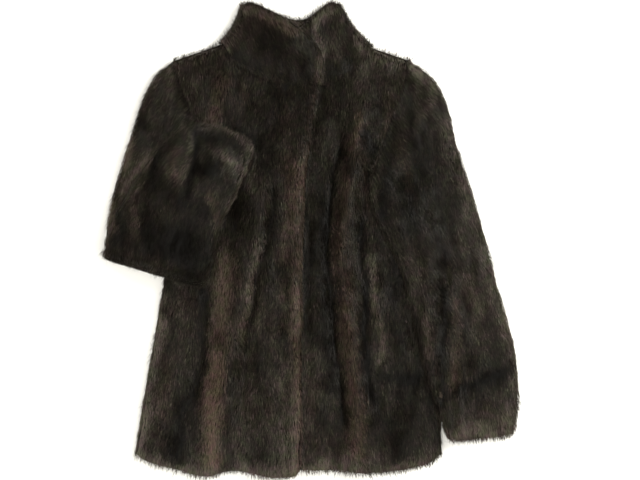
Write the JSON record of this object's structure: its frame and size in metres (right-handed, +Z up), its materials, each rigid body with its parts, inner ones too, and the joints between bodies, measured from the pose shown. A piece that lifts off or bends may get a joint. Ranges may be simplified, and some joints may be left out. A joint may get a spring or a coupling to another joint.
{
  "type": "fur coat",
  "caption": "Short dark fur coat laid flat on its back, with a stand collar, lapped fronts, a straight sleeve and a sleeve folded at the elbow across the chest.",
  "frame": {"origin": "centre of the bounding box, on the flat surface that the coat lies on", "axes": "+Z up from the surface, +Y from the hem to the collar, +X to the wearer's left"},
  "size_m": [0.6476, 0.743, 0.0587],
  "materials": {
    "fur": "dense glossy hair combed downwards"
  },
  "bodies": {
    "root": {"back": "fur", "left_front": "fur", "right_front": "fur", "left_sleeve": "fur", "right_sleeve": "fur", "collar": "fur"}
  },
  "joints": []
}
